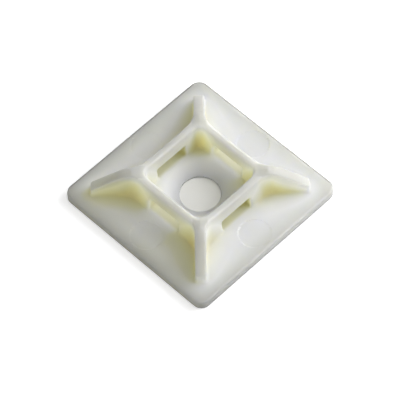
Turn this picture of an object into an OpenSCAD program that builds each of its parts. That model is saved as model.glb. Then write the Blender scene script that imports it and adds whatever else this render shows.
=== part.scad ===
// Four-way cable tie mount for a screw, moulded in one piece from natural nylon.
// A square plate carries a square, open-topped tower. Each tower wall has a tie
// slot at the plate, so that a tie goes in through one slot and out through
// another. A diagonal rib braces each corner of the tower. The origin is at the
// middle of the plate's underside, and +Z points away from the mounting surface.

/* [Base plate] */
// Side of the square plate
plate_w = 28; // [26:1:40]
// Thickness of the plate
plate_t = 1.5; // [1.2:0.1:2.2]
// Radius of the plate's corners
plate_corner_r = 1.6; // [1:0.2:3]
// Chamfer along the plate's upper edge
plate_chamfer = 0.3; // [0.1:0.1:0.5]

/* [Tower] */
// Height of the tower's corners above the mounting surface
tower_h = 6.4; // [6:0.1:8]
// Outer width of the tower where it meets the plate
tower_foot_w = 15; // [14.6:0.1:16]
// Outer width of the tower at its rim
tower_rim_w = 13.8; // [13.6:0.1:14.4]
// Width of the well where it meets the plate
well_foot_w = 11; // [10:0.1:11.4]
// Width of the well at the rim
well_rim_w = 11.8; // [11.4:0.1:12]
// Radius of the well's corners at the rim
well_corner_r = 1.5; // [1.2:0.1:2.4]
// Depth of the dip in each wall's rim, which cradles the cable bundle
rim_dip = 0.6; // [0.2:0.1:1]

/* [Tie slots] */
// Length of each slot along its wall
slot_w = 5.8; // [4:0.1:6.4]
// Height of each slot above the plate
slot_h = 2.2; // [1.4:0.1:2.6]

/* [Ribs] */
// Thickness of each diagonal rib
rib_w = 1.6; // [1:0.1:2]
// Where each rib starts to slope, along X and along Y from the centre
rib_shoulder = 7.4; // [7.2:0.1:8]
// Where each rib ends, along X and along Y from the centre
rib_end = 11.1; // [10:0.1:11.6]
// Height of each rib's blunt end above the plate
rib_end_h = 1.3; // [0.4:0.1:2]
// Radius of the upright fillets where the ribs meet the tower's walls
rib_fillet_r = 3; // [1:0.5:3]

/* [Screw hole] */
// Diameter of the screw hole through the plate
hole_d = 6; // [3:0.1:7]
// Height of the hole's straight lip, below the dish
hole_lip_h = 0.3; // [0.2:0.1:1]
// Diameter of the shallow dish in the well's floor, which runs down to the hole
dish_d = 10.8; // [8:0.1:10.8]

/* [Hidden] */
nylon = "#E6E8E0";

// Facets of the small round parts, and of the wide cradle
$fn = 96;
cradle_fn = 480;
// How far one solid runs into the next, so that they join
bite = 0.4;

// The tower's corner radius at the foot and at the rim follows from one upright axis
tower_corner_r = 0.6;
tower_axis = tower_rim_w / 2 - tower_corner_r;
well_axis = well_rim_w / 2 - well_corner_r;

// The cradle is a cylinder that just touches the rim's corners
rim_half = tower_rim_w / 2;
cradle_r = (pow(rim_half, 2) + pow(rim_dip, 2)) / (2 * rim_dip);
cradle_z = tower_h - rim_dip + cradle_r;

// Distances along a rib are measured on the plate's diagonal
diagonal = sqrt(2);
rib_root = (rim_half + well_rim_w / 2) / 2;

// A fillet's axis is its radius away from both the wall and the side of the rib
fillet_x = rim_half + rib_fillet_r;
fillet_y = fillet_x - diagonal * (rib_w / 2 + rib_fillet_r);
fillet_touch = rib_fillet_r / diagonal;

// Square with rounded corners whose four sides all lean by the same amount.
// Each corner is a cone on an upright axis, so the flat sides stay tangent to it.
module drafted_square(foot_w, top_w, height, axis) {
    for (turn = [0, 90])
        rotate([90, 0, turn])
            linear_extrude(2 * axis, center = true)
                polygon([
                    [-foot_w / 2, 0],
                    [foot_w / 2, 0],
                    [top_w / 2, height],
                    [-top_w / 2, height]
                ]);
    for (x = [-axis, axis], y = [-axis, axis])
        translate([x, y, 0])
            cylinder(h = height, r1 = foot_w / 2 - axis, r2 = top_w / 2 - axis);
}

module plate() {
    straight_t = plate_t - plate_chamfer;
    axis = plate_w / 2 - plate_corner_r;
    drafted_square(plate_w, plate_w, straight_t, axis);
    translate([0, 0, straight_t])
        drafted_square(plate_w, plate_w - 2 * plate_chamfer, plate_chamfer, axis);
}

module tower_block() {
    translate([0, 0, plate_t])
        drafted_square(tower_foot_w, tower_rim_w, tower_h - plate_t, tower_axis);
}

// Opening of the well, carried on past the rim with the same lean
module well() {
    over = 1;
    depth = tower_h - plate_t;
    lean = (well_rim_w - well_foot_w) / depth;
    translate([0, 0, plate_t])
        drafted_square(well_foot_w, well_rim_w + lean * over, depth + over, well_axis);
}

// One rib, standing along the diagonal between +X and +Y
module rib() {
    rotate([90, 0, 45])
        linear_extrude(rib_w, center = true)
            polygon([
                [rib_root * diagonal, plate_t - bite],
                [rib_end * diagonal, plate_t - bite],
                [rib_end * diagonal, plate_t + rib_end_h],
                [rib_shoulder * diagonal, tower_h],
                [rib_root * diagonal, tower_h]
            ]);
}

// Upright fillet between the +X wall and the side of the rib
module rib_fillet() {
    translate([0, 0, plate_t - bite])
        linear_extrude(tower_h - plate_t + bite)
            difference() {
                polygon([
                    [rim_half - bite, fillet_y],
                    [fillet_x, fillet_y],
                    [fillet_x - fillet_touch, fillet_y + fillet_touch],
                    [rim_half - bite, rim_half - bite]
                ]);
                translate([fillet_x, fillet_y])
                    circle(rib_fillet_r);
            }
}

// Cylinder over the tower, along X, that leaves the dip in two of its rims
module cradle() {
    translate([0, 0, cradle_z])
        rotate([0, 90, 0])
            cylinder(h = plate_w, r = cradle_r, center = true, $fn = cradle_fn);
}

// Passage for a tie through the two walls that face along X
module slot_pair() {
    translate([-tower_foot_w, -slot_w / 2, plate_t])
        cube([2 * tower_foot_w, slot_w, slot_h]);
}

// The hole and the dish above it, carried on past both faces of the plate
module screw_hole() {
    over = 0.2;
    flare = (dish_d - hole_d) / 2 / (plate_t - hole_lip_h);
    rotate_extrude()
        polygon([
            [0, -over],
            [hole_d / 2, -over],
            [hole_d / 2, hole_lip_h],
            [dish_d / 2 + flare * over, plate_t + over],
            [0, plate_t + over]
        ]);
}

module tie_mount() {
    color(nylon)
        difference() {
            union() {
                plate();
                tower_block();
                for (quarter = [0:90:270])
                    rotate([0, 0, quarter]) {
                        rib();
                        rib_fillet();
                        mirror([1, -1, 0])
                            rib_fillet();
                    }
            }
            well();
            screw_hole();
            for (turn = [0, 90])
                rotate([0, 0, turn]) {
                    cradle();
                    slot_pair();
                }
        }
}

tie_mount();
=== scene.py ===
"""Looks of a four-way cable tie mount, moulded in natural nylon.

The part is one solid. Its finished surface is drawn as a signed distance field in
millimetres, with the fillets, rounded edges and ejector marks of a moulding, and
the field is turned into a mesh that takes the CAD solid's place.
"""

import math
import bpy
import numpy as np
from mathutils import Matrix, Vector


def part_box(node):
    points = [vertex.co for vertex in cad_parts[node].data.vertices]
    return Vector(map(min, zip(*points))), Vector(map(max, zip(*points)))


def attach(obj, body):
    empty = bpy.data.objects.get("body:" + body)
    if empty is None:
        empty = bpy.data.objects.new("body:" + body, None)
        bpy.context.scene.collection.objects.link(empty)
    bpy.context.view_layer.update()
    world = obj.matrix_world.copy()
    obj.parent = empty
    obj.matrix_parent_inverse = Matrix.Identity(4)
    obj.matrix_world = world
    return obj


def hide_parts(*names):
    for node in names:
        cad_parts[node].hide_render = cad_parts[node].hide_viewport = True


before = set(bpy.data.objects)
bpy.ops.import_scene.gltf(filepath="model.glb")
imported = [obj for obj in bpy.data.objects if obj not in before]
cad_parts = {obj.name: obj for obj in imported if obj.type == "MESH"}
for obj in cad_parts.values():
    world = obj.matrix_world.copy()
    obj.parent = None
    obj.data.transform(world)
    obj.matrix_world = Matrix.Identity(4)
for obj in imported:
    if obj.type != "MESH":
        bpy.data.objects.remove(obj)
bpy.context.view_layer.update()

MM = 0.001

# Sizes in millimetres: the plate's and the tower's reach come from the frame
part_lo, part_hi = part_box("tie_mount")
PLATE_HALF = (part_hi.x - part_lo.x) / 2 / MM
TOWER_H = part_hi.z / MM
PLATE_T = 1.5
PLATE_CORNER_R = 1.6
TOWER_FOOT_HALF = 7.5
TOWER_RIM_HALF = 6.9
TOWER_CORNER_R = 0.6
WELL_FOOT_HALF = 5.5
WELL_RIM_HALF = 5.9
WELL_CORNER_R = 1.5
RIM_DIP = 0.6
SLOT_HALF = 2.9
SLOT_H = 2.2
RIB_HALF = 0.8
RIB_SHOULDER = 7.4 * math.sqrt(2)
RIB_END = 11.1 * math.sqrt(2)
RIB_END_H = 1.3
HOLE_R = 3.0
HOLE_LIP_H = 0.3
DISH_R = 5.4

# Radii of the rounded edges and of the fillets, in millimetres
PLATE_EDGE_R = 0.35
PLATE_FOOT_R = 0.12
RIM_EDGE_R = 0.32
SLOT_EDGE_R = 0.2
SLOT_CORNER_R = 0.3
RIB_EDGE_R = 0.25
RIB_BEND_R = 0.8
FOOT_FILLET_R = 0.35
RIB_FILLET = 0.88
HOLE_EDGE_R = 0.1
DISH_EDGE_R = 0.3

# Ejector pins leave shallow discs in the middle of each side of the plate
PIN_R = 2.4
PIN_FROM_CENTRE = 10.9
PIN_DEPTH = 0.07
PIN_EDGE = 0.12

# Mesh of the surface
STEP = 0.16

# How far round a point the thickness of the nylon tells in its colour, partly as its own
# tone and partly as painted shade in thick corners and on thin edges
BULK_REACH = 1.6
# Least share of nylon that the floor of the dish is coloured for, which paints light onto
# the floor that the tower's walls shade
DISH_BULK = 0.35
# How far in from its mouths a slot takes its full painted shade
SLOT_SHADE_REACH = 0.5
# Length of nylon that takes the key lamp's light down to 1/e, the step of the way
# through it, the stretch of each way that is the surface itself, and how many rays
# go each way across the lamp, out to this share of its width from its middle
CLEAR_REACH = 2.5
CLEAR_STEP = 0.25
CLEAR_SKIN = 0.15
CLEAR_RAYS = 4
CLEAR_SPREAD = 0.4
# Painted shade on the plate's margin: its colour darkens there everywhere, and more on the
# side in the tower's lee, with the azimuth that the lee lies away from and half the width
# it grows over
MARGIN_SHADE = 0.15
LEE_MARGIN_SHADE = 0.35
MARGIN_SHADE_REACH = 1.5
LEE_AZIMUTH = 60
LEE_HALF = 10
# Painted dark outline of the plate: how much it darkens, and the height of its line on the
# near sides, where it is a painted contact shadow along the foot
LINE = 0.85
LINE_TOP = 0.30
# Painted shade on the ribs' crests: how much darker they are, and how far out on the
# diagonal it starts
CREST = 0.24
CREST_FROM = 7.6

# Studio light: name, azimuth, elevation, level, width and distance of each lamp, the
# key lamp first
LAMPS = (
    ("key", 64, 38, 0.97, 0.12, 0.15),
    ("top", 66, 80, 0.14, 0.3, 0.5),
    ("fill", 280, 38, 0.12, 0.4, 0.5),
    ("low_fill", 270, 12, 0.18, 0.3, 0.5),
    ("back", 135, 20, 0.09, 0.3, 0.5),
    ("side", 0, 20, 0.06, 0.3, 0.5),
)
# Light of the surroundings on the mount, and what lifts the seen floor to white
WORLD_LEVEL = 0.05
FLOOR_GLOW = 0.55


def both(a, b, radius=0.0):
    """Where fields a and b are both solid, with the convex edge rounded."""
    if radius == 0.0:
        return np.maximum(a, b)
    corner = np.hypot(np.maximum(a + radius, 0), np.maximum(b + radius, 0))
    return np.minimum(np.maximum(a, b), -radius) + corner


def either(a, b, radius):
    """Where field a or b is solid, with a fillet between them."""
    corner = np.hypot(np.maximum(radius - a, 0), np.maximum(radius - b, 0))
    return np.maximum(np.minimum(a, b), radius) - corner


def rounded_square(x, y, half, radius):
    """Distance to a square of that half width with rounded corners."""
    dx = x - (half - radius)
    dy = y - (half - radius)
    outside = np.hypot(np.maximum(dx, 0), np.maximum(dy, 0))
    return outside + np.minimum(np.maximum(dx, dy), 0) - radius


def leaning_square(x, y, z, foot_half, rim_half, rim_corner_r):
    """Square tube wall that leans from foot_half at the plate to rim_half at the rim."""
    lean = (rim_half - foot_half) / (TOWER_H - PLATE_T)
    half = foot_half + lean * (z - PLATE_T)
    radius = half - (rim_half - rim_corner_r)
    return rounded_square(x, y, half, np.maximum(radius, 0.05)) / math.hypot(1, lean)


def plate_field(x, y, z):
    """The plate, with its ejector marks, and with x and y folded to one quarter."""
    across = np.minimum(np.hypot(x - PIN_FROM_CENTRE, y), np.hypot(x, y - PIN_FROM_CENTRE))
    mark = np.clip((PIN_R - across) / PIN_EDGE + 0.5, 0, 1)
    mark = mark * mark * (3 - 2 * mark)
    outline = rounded_square(x, y, PLATE_HALF, PLATE_CORNER_R)
    slab = both(outline, z - PLATE_T + PIN_DEPTH * mark, PLATE_EDGE_R)
    return both(slab, -z, PLATE_FOOT_R)


def rib_field(x, y, z):
    """The ribs, which stand on the diagonals."""
    along = (x + y) / math.sqrt(2)
    aside = np.abs(x - y) / math.sqrt(2)
    run = RIB_END - RIB_SHOULDER
    drop = TOWER_H - PLATE_T - RIB_END_H
    slope = ((along - RIB_SHOULDER) * drop + (z - TOWER_H) * run) / math.hypot(run, drop)
    outline = both(both(z - TOWER_H, slope, RIB_BEND_R), along - RIB_END, RIB_EDGE_R)
    return both(aside - RIB_HALF, outline, RIB_EDGE_R)


def rim_field(x, y, z):
    """What lies below the rim: two cradles cross over the tower and dip its walls."""
    cradle_r = (TOWER_RIM_HALF**2 + RIM_DIP**2) / (2 * RIM_DIP)
    up = z - (TOWER_H - RIM_DIP + cradle_r)
    over_x = cradle_r - np.hypot(y, up)
    over_y = cradle_r - np.hypot(x, up)
    return np.maximum(z - TOWER_H, np.maximum(over_x, over_y))


def slot_field(x, y, z):
    """Passages for a tie along X and along Y, open downwards."""
    top = z - PLATE_T - SLOT_H
    return np.minimum(
        both(y - SLOT_HALF, top, SLOT_CORNER_R), both(x - SLOT_HALF, top, SLOT_CORNER_R)
    )


def dish_field(x, y, z):
    """Above the shallow dish in the well's floor, which runs down to the screw hole."""
    rise = PLATE_T - HOLE_LIP_H
    run = DISH_R - HOLE_R
    out = np.hypot(x, y) - HOLE_R
    return (out * rise - (z - HOLE_LIP_H) * run) / math.hypot(run, rise)


def mount_field(x, y, z):
    """Signed distance to the mount's surface, negative in the nylon."""
    x = np.abs(x)
    y = np.abs(y)
    tower = leaning_square(x, y, z, TOWER_FOOT_HALF, TOWER_RIM_HALF, TOWER_CORNER_R)
    well = leaning_square(x, y, z, WELL_FOOT_HALF, WELL_RIM_HALF, WELL_CORNER_R)
    walls = either(tower, rib_field(x, y, z), RIB_FILLET)
    walls = both(walls, rim_field(x, y, z), RIM_EDGE_R)
    walls = both(walls, -well, RIM_EDGE_R)
    walls = both(walls, -slot_field(x, y, z), SLOT_EDGE_R)
    walls = np.maximum(walls, PLATE_T / 3 - z)
    plate = both(plate_field(x, y, z), -np.maximum(dish_field(x, y, z), well), DISH_EDGE_R)
    solid = either(walls, plate, FOOT_FILLET_R)
    return both(solid, HOLE_R - np.hypot(x, y), HOLE_EDGE_R)


def field_slope(points):
    """Gradient of the field at each point."""
    reach = 0.01
    slope = np.empty_like(points)
    for axis in range(3):
        shift = np.zeros(3)
        shift[axis] = reach
        ahead = mount_field(*(points + shift).T)
        behind = mount_field(*(points - shift).T)
        slope[:, axis] = (ahead - behind) / (2 * reach)
    return slope


def centred_steps(low, high):
    """Evenly spaced samples past both ends, with none on the ends."""
    count = 2 * math.ceil((high - low) / STEP / 2) + 2
    return (low + high) / 2 + (np.arange(count) - (count - 1) / 2) * STEP


def surface_net():
    """Vertices and quads of the surface: a vertex in each crossed cell, and a quad
    round each crossed edge of the grid."""
    xs = centred_steps(-PLATE_HALF, PLATE_HALF)
    zs = centred_steps(0, TOWER_H)
    axes = (xs, xs, zs)
    grid = np.stack(np.meshgrid(*axes, indexing="ij"))
    value = mount_field(*grid)
    inside = value < 0

    # A crossed cell's vertex starts at the mean of the crossings of its edges
    cells = tuple(n - 1 for n in value.shape)
    total = np.zeros((3, *cells))
    crossings = np.zeros(cells)
    for axis in range(3):
        others = [a for a in range(3) if a != axis]
        low = [slice(None)] * 3
        high = [slice(None)] * 3
        low[axis] = slice(0, -1)
        high[axis] = slice(1, None)
        a, b = value[tuple(low)], value[tuple(high)]
        crossed = (a < 0) != (b < 0)
        part = np.where(crossed, a / np.where(crossed, a - b, 1), 0)
        place = grid[(slice(None), *low)].copy()
        place[axis] += part * STEP
        for first in (0, 1):
            for second in (0, 1):
                pick = [slice(None)] * 3
                pick[others[0]] = slice(first, first + cells[others[0]])
                pick[others[1]] = slice(second, second + cells[others[1]])
                hit = crossed[tuple(pick)]
                crossings += hit
                total += place[(slice(None), *pick)] * hit
    active = crossings > 0
    number = np.full(cells, -1)
    number[active] = np.arange(active.sum())
    points = (total[:, active] / crossings[active]).T

    quads = []
    for axis in range(3):
        u, v = (axis + 1) % 3, (axis + 2) % 3
        low = [slice(1, -1)] * 3
        high = [slice(1, -1)] * 3
        low[axis] = slice(0, -1)
        high[axis] = slice(1, None)
        enters = inside[tuple(high)] & ~inside[tuple(low)]
        leaves = inside[tuple(low)] & ~inside[tuple(high)]
        for crossed, turn in ((leaves, 1), (enters, -1)):
            at = np.argwhere(crossed)
            at[:, u] += 1
            at[:, v] += 1
            ring = []
            for back_u, back_v in ((1, 1), (0, 1), (0, 0), (1, 0))[::turn]:
                cell = at.copy()
                cell[:, u] -= back_u
                cell[:, v] -= back_v
                ring.append(number[tuple(cell.T)])
            quads.append(np.stack(ring, 1))
    return points, np.concatenate(quads)


def bulk_near(points):
    """Share of nylon around each point, in a soft ball of about BULK_REACH."""
    step = 2 * STEP
    reach = 3 * BULK_REACH
    xs = np.arange(-PLATE_HALF - reach, PLATE_HALF + reach, step)
    zs = np.arange(-reach, TOWER_H + reach, step)
    share = np.clip(0.5 - mount_field(*np.meshgrid(xs, xs, zs, indexing="ij")) / step, 0, 1)
    offsets = np.arange(-math.ceil(reach / step), math.ceil(reach / step) + 1) * step
    weights = np.exp(-0.5 * (offsets / BULK_REACH) ** 2)
    weights /= weights.sum()
    for axis in range(3):
        share = np.apply_along_axis(np.convolve, axis, share, weights, "same")
    place = (points - (xs[0], xs[0], zs[0])) / step
    base = np.floor(place).astype(int)
    part = place - base
    total = np.zeros(len(points))
    for corner in np.ndindex(2, 2, 2):
        weight = np.prod(np.where(corner, part, 1 - part), axis=1)
        total += weight * share[tuple((base + corner).T)]
    return total


def edge_shade_of(points, normals):
    """How much painted shade darkens the plate's margin, its painted dark outline and the
    ribs' crests. The line runs along the plate's upper edge on the -X and +Y sides, and its
    foot on the others, where it is a painted contact shadow."""
    x, y, z = np.abs(points[:, 0]), np.abs(points[:, 1]), points[:, 2]
    inward = -rounded_square(x, y, PLATE_HALF, PLATE_CORNER_R)
    on_plate = np.clip((PLATE_T + 0.1 - z) / 0.1, 0, 1)
    lee = np.clip(0.5 - points @ toward(LEE_AZIMUTH, 0) / (2 * LEE_HALF), 0, 1)
    # Painted shade: the margin darkens, more in the tower's lee
    margin = (MARGIN_SHADE + LEE_MARGIN_SHADE * lee) * np.exp(-np.maximum(inward, 0) / MARGIN_SHADE_REACH)
    # Painted dark line on the far sides' upper edge, and a painted contact shadow along the
    # near sides' foot
    away = (normals[:, 1] - normals[:, 0]) / math.sqrt(2)
    far_line = np.clip((away - 0.06) / 0.08, 0, 1) * (z > PLATE_T - PLATE_EDGE_R)
    near_line = np.clip((0.05 - away) / 0.05, 0, 1) * np.clip((LINE_TOP - z) / 0.1, 0, 1)
    line = LINE * np.maximum(far_line, near_line) * (inward < PLATE_EDGE_R)
    margin = on_plate * np.maximum(np.minimum(margin, 1), line)
    # Painted shade: the ribs' upward-facing crests are darkened
    along = (x + y) / math.sqrt(2)
    aside = np.abs(x - y) / math.sqrt(2)
    on_rib = np.clip(along - CREST_FROM, 0, 1) * (aside < RIB_HALF + 0.3)
    on_rib *= (z > PLATE_T + FOOT_FILLET_R) * np.clip((normals[:, 2] - 0.3) / 0.3, 0, 1)
    return np.maximum(margin, CREST * on_rib)


def slot_shade_of(points):
    """How far inside a tie slot each point lies, the share of painted shade it takes: 0 at
    its mouths and outside, up to 1.
    """
    x, y, z = np.abs(points[:, 0]), np.abs(points[:, 1]), points[:, 2]
    tower = leaning_square(x, y, z, TOWER_FOOT_HALF, TOWER_RIM_HALF, TOWER_CORNER_R)
    well = leaning_square(x, y, z, WELL_FOOT_HALF, WELL_RIM_HALF, WELL_CORNER_R)
    depth = np.clip(np.minimum(-tower, well) / SLOT_SHADE_REACH, 0, 1)
    return depth * (slot_field(x, y, z) < SLOT_EDGE_R / 2)


def toward(azimuth, elevation):
    """Unit vector toward a lamp at those angles in degrees."""
    azimuth = math.radians(azimuth)
    elevation = math.radians(elevation)
    level = math.cos(elevation)
    return np.array(
        (math.cos(azimuth) * level, math.sin(azimuth) * level, math.sin(elevation))
    )


def clearness_of(points):
    """How clear each point's way to the key lamp is: 1 in the open, and less the more
    nylon its light has to come through."""
    step = CLEAR_STEP
    xs = np.arange(-PLATE_HALF - 2 * step, PLATE_HALF + 3 * step, step)
    zs = np.arange(-2 * step, TOWER_H + 3 * step, step)
    share = np.clip(0.5 - mount_field(*np.meshgrid(xs, xs, zs, indexing="ij")) / step, 0, 1)
    azimuth, elevation, _, size, distance = LAMPS[0][1:]
    back = toward(azimuth, elevation)
    right = np.cross((0, 0, 1), back)
    right /= np.linalg.norm(right)
    up = np.cross(back, right)
    total = np.zeros(len(points))
    spread = np.linspace(-CLEAR_SPREAD, CLEAR_SPREAD, CLEAR_RAYS)
    for across in spread:
        for along in spread:
            lamp = (back * distance + (right * across + up * along) * size) / MM
            ray = lamp - points
            ray *= step / np.linalg.norm(ray, axis=1)[:, None]
            length = np.full(len(points), -CLEAR_SKIN)
            for count in range(round(PLATE_HALF / step)):
                place = (points + ray * (count + 0.5) - (xs[0], xs[0], zs[0])) / step
                cell = np.clip(np.rint(place).astype(int), 0, np.array(share.shape) - 1)
                length += share[tuple(cell.T)] * step
            total += np.exp(-np.maximum(length, 0) / CLEAR_REACH)
    return total / len(spread) ** 2


def settle(points):
    """Moves each point onto the surface, straight down the field's slope."""
    for _ in range(4):
        slope = field_slope(points)
        length_sq = np.maximum((slope**2).sum(1), 0.05)
        move = mount_field(*points.T) / length_sq
        points = points - slope * np.clip(move, -STEP / 2, STEP / 2)[:, None]
    return points


def make_mount():
    points, quads = surface_net()
    points = settle(points)
    normals = field_slope(points)
    normals /= np.linalg.norm(normals, axis=1)[:, None]
    mesh = bpy.data.meshes.new("tie_mount_moulded")
    mesh.from_pydata((points * MM).tolist(), [], quads.tolist())
    mesh.validate()
    mesh.shade_smooth()
    mesh.normals_split_custom_set_from_vertices(normals.tolist())
    # The thin floor of the dish has little nylon round it and would take the ramp's dark
    # grey; it is kept lighter, which paints light onto a floor that the tower's walls shade
    bulk = bulk_near(points)
    in_dish = (np.hypot(points[:, 0], points[:, 1]) < DISH_R) & (points[:, 2] < PLATE_T)
    in_dish &= np.abs(normals[:, 2]) > 0.5
    bulk[in_dish] = np.maximum(bulk[in_dish], DISH_BULK)
    looks = (
        ("bulk", bulk),
        ("slot_shade", slot_shade_of(points)),
        ("edge_shade", edge_shade_of(points, normals)),
        ("clearness", clearness_of(points)),
    )
    for name, values in looks:
        mesh.attributes.new(name, "FLOAT", "POINT").data.foreach_set("value", values)
    piece = bpy.data.objects.new("tie_mount_moulded", mesh)
    bpy.context.scene.collection.objects.link(piece)
    return piece


def set_stops(ramp_node, stops):
    """Gives a colour ramp those places and colours."""
    ramp = ramp_node.color_ramp.elements
    while len(ramp) < len(stops):
        ramp.new(0.5)
    for element, (place, colour) in zip(ramp, stops):
        element.position = place
        element.color = (*colour, 1)


def nylon_material():
    """Milky nylon, coloured by the values that make_mount stores on the points: warmer
    where it is thick, with painted shade in thick corners and on thin edges, painted
    shade as olive in the slots and as grey on the margin, a painted dark outline, darker
    painted crests, and a painted yellow tint where the key lamp's light comes through
    nylon."""
    material = bpy.data.materials.new("natural_nylon")
    material.use_nodes = True
    nodes = material.node_tree.nodes
    links = material.node_tree.links
    shader = nodes["Principled BSDF"]
    shader.inputs["Subsurface Weight"].default_value = 1.0
    shader.inputs["Subsurface Radius"].default_value = (1.0, 0.97, 0.80)
    shader.inputs["Subsurface Scale"].default_value = 0.0035

    thickness = nodes.new("ShaderNodeAttribute")
    thickness.attribute_name = "bulk"
    tint = nodes.new("ShaderNodeValToRGB")
    # Thin edges and rims get a darker grey, the plate a light cream, and the thick corners
    # where walls, ribs and plate meet a darker olive: partly the nylon's own tone, partly
    # painted shade in those corners and on the thin edges
    stops = (
        (0.13, (0.60, 0.60, 0.59)),
        (0.20, (0.70, 0.70, 0.68)),
        (0.27, (0.82, 0.83, 0.80)),
        (0.33, (0.95, 0.95, 0.92)),
        (0.42, (0.90, 0.90, 0.82)),
        (0.54, (0.84, 0.81, 0.65)),
        (0.64, (0.80, 0.75, 0.55)),
    )
    set_stops(tint, stops)
    links.new(thickness.outputs["Fac"], tint.inputs["Fac"])

    # Painted shade in the tie slots: a darker olive colour in the passages
    slot_shade = nodes.new("ShaderNodeAttribute")
    slot_shade.attribute_name = "slot_shade"
    slot_shaded = nodes.new("ShaderNodeMix")
    slot_shaded.data_type = "RGBA"
    slot_shaded.inputs["B"].default_value = (0.76, 0.75, 0.56, 1)
    links.new(slot_shade.outputs["Fac"], slot_shaded.inputs["Factor"])
    links.new(tint.outputs["Color"], slot_shaded.inputs["A"])

    # Painted shade: the plate's margin, a nearly black outline and the ribs' crests darken
    # towards this grey
    edge_shade = nodes.new("ShaderNodeAttribute")
    edge_shade.attribute_name = "edge_shade"
    edge = nodes.new("ShaderNodeMix")
    edge.data_type = "RGBA"
    edge.inputs["B"].default_value = (0.12, 0.12, 0.12, 1)
    links.new(edge_shade.outputs["Fac"], edge.inputs["Factor"])
    links.new(slot_shaded.outputs["Result"], edge.inputs["A"])

    clearness = nodes.new("ShaderNodeAttribute")
    clearness.attribute_name = "clearness"
    # Painted light: a yellow tint for the key lamp's light that comes through nylon,
    # stronger the less clear the way to the lamp
    veil = nodes.new("ShaderNodeValToRGB")
    veil_stops = (
        (0.20, (0.98, 0.95, 0.66)),
        (0.45, (1.00, 0.98, 0.74)),
        (0.65, (1.00, 1.00, 0.90)),
        (1.00, (1.00, 1.00, 0.98)),
    )
    set_stops(veil, veil_stops)
    links.new(clearness.outputs["Fac"], veil.inputs["Fac"])
    veiled = nodes.new("ShaderNodeMix")
    veiled.data_type = "RGBA"
    veiled.blend_type = "MULTIPLY"
    veiled.inputs["Factor"].default_value = 1.0
    links.new(edge.outputs["Result"], veiled.inputs["A"])
    links.new(veil.outputs["Color"], veiled.inputs["B"])
    links.new(veiled.outputs["Result"], shader.inputs["Base Color"])
    shader.inputs["Roughness"].default_value = 0.42
    return material


# The camera looks at the mount from high over one corner
AZIMUTH = math.radians(46.04)
ELEVATION = math.radians(56.49)
ROLL = math.radians(-1.84)
DISTANCE = 28.68 * PLATE_HALF * MM
AIM_RIGHT = -0.0033 * PLATE_HALF * MM
AIM_UP = -0.0518 * PLATE_HALF * MM
LENS = 250.86


def make_camera():
    back = Vector(
        (
            math.sin(AZIMUTH) * math.cos(ELEVATION),
            -math.cos(AZIMUTH) * math.cos(ELEVATION),
            math.sin(ELEVATION),
        )
    )
    level = Vector((math.cos(AZIMUTH), math.sin(AZIMUTH), 0))
    right = Matrix.Rotation(ROLL, 3, back) @ level
    up = back.cross(right)
    data = bpy.data.cameras.new("camera")
    data.sensor_width = 36
    data.lens = LENS
    camera = bpy.data.objects.new("camera", data)
    turn = Matrix((right, up, back)).transposed().to_4x4()
    place = right * AIM_RIGHT + up * AIM_UP + back * DISTANCE
    camera.matrix_world = Matrix.Translation(place) @ turn
    bpy.context.scene.collection.objects.link(camera)
    bpy.context.scene.camera = camera


def seen_directly(tree):
    """Output that is 1 on rays from the camera, a gloss or a clear part, and else 0."""
    nodes, links = tree.nodes, tree.links
    path = nodes.new("ShaderNodeLightPath")
    seen = path.outputs["Is Camera Ray"]
    for name in ("Is Glossy Ray", "Is Transmission Ray"):
        either_ray = nodes.new("ShaderNodeMath")
        either_ray.operation = "MAXIMUM"
        links.new(seen, either_ray.inputs[0])
        links.new(path.outputs[name], either_ray.inputs[1])
        seen = either_ray.outputs[0]
    return seen


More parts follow.
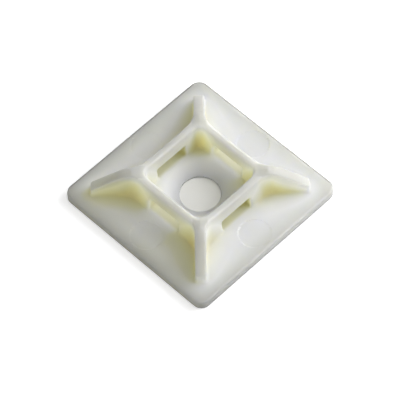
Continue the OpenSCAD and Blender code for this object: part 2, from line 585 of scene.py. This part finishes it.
def make_floor():
    bpy.ops.mesh.primitive_plane_add(size=4.0, location=(0, 0, 0))
    floor = bpy.context.object
    floor.name = "floor"
    material = bpy.data.materials.new("floor")
    material.use_nodes = True
    nodes, links = material.node_tree.nodes, material.node_tree.links
    shader = nodes["Principled BSDF"]
    shader.inputs["Base Color"].default_value = (0.9, 0.9, 0.9, 1)
    shader.inputs["Roughness"].default_value = 0.9
    shader.inputs["Specular IOR Level"].default_value = 0.0
    shader.inputs["Emission Color"].default_value = (1, 1, 1, 1)
    seen = seen_directly(material.node_tree)
    place = nodes.new("ShaderNodeNewGeometry")
    from_centre = nodes.new("ShaderNodeVectorMath")
    from_centre.operation = "LENGTH"
    links.new(place.outputs["Position"], from_centre.inputs[0])
    open_floor = nodes.new("ShaderNodeMapRange")
    open_floor.inputs["From Min"].default_value = 2 * HOLE_R * MM
    open_floor.inputs["From Max"].default_value = PLATE_HALF * MM
    open_floor.inputs["To Max"].default_value = FLOOR_GLOW
    links.new(from_centre.outputs["Value"], open_floor.inputs["Value"])
    glow = nodes.new("ShaderNodeMath")
    glow.operation = "MULTIPLY"
    links.new(seen, glow.inputs[0])
    links.new(open_floor.outputs["Result"], glow.inputs[1])
    links.new(glow.outputs[0], shader.inputs["Emission Strength"])
    floor.data.materials.append(material)


def softbox(name, azimuth, elevation, level, size, distance):
    """Square lamp aimed at the mount. A white surface that faces it from the mount's
    middle renders at its level."""
    data = bpy.data.lights.new(name, "AREA")
    data.size = size
    data.energy = level * (math.pi * distance) ** 2
    direction = Vector(toward(azimuth, elevation))
    lamp = bpy.data.objects.new(name, data)
    turn = direction.to_track_quat("Z", "Y").to_matrix().to_4x4()
    lamp.matrix_world = Matrix.Translation(direction * distance) @ turn
    bpy.context.scene.collection.objects.link(lamp)


def make_light():
    world = bpy.data.worlds.new("studio")
    world.use_nodes = True
    nodes, links = world.node_tree.nodes, world.node_tree.links
    background = nodes["Background"]
    background.inputs["Color"].default_value = (1, 1, 1, 1)
    seen = seen_directly(world.node_tree)
    strength = nodes.new("ShaderNodeMapRange")
    strength.inputs["To Min"].default_value = WORLD_LEVEL
    strength.inputs["To Max"].default_value = 1.0
    links.new(seen, strength.inputs["Value"])
    links.new(strength.outputs["Result"], background.inputs["Strength"])
    bpy.context.scene.world = world
    for lamp in LAMPS:
        softbox(*lamp)


bpy.context.scene.view_settings.view_transform = "Standard"

mount = make_mount()
mount.data.materials.append(nylon_material())
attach(mount, "root")
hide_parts("tie_mount")
make_camera()
make_floor()
make_light()
